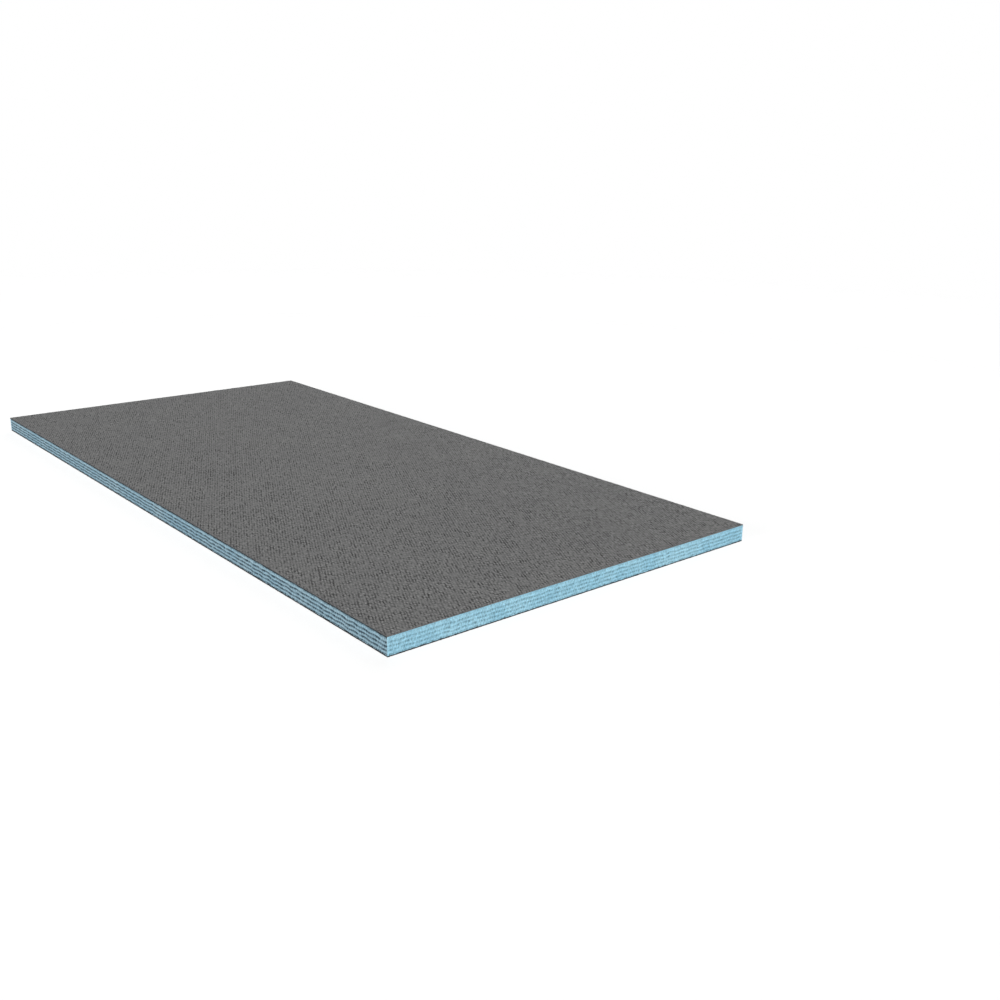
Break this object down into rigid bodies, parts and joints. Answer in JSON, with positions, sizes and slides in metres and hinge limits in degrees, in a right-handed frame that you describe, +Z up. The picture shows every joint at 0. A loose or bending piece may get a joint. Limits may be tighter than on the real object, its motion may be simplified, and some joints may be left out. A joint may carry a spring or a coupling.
{
  "type": "foam tile backer board",
  "caption": "Flat rectangular tile backer board: blue extruded foam core with grooved edges and a thin grey mortar coating with a mesh texture on each face.",
  "frame": {"origin": "centre of the board's underside, where it rests when it lies flat", "axes": "+Z up through the thickness towards the tile face, +X along the length, +Y across the width"},
  "size_m": [1.25, 0.6, 0.025],
  "materials": {
    "foam": "light blue extruded foam with a fine cell texture and ribbed edges, matt",
    "mortar_top": "grey cement mortar over embedded glass mesh, matt, with small bumps in staggered rows",
    "mortar_bottom": "grey cement mortar over embedded glass mesh, matt, with small bumps in staggered rows"
  },
  "bodies": {
    "root": {"foam_core": "foam", "top_coating": "mortar_top", "bottom_coating": "mortar_bottom"}
  },
  "joints": []
}
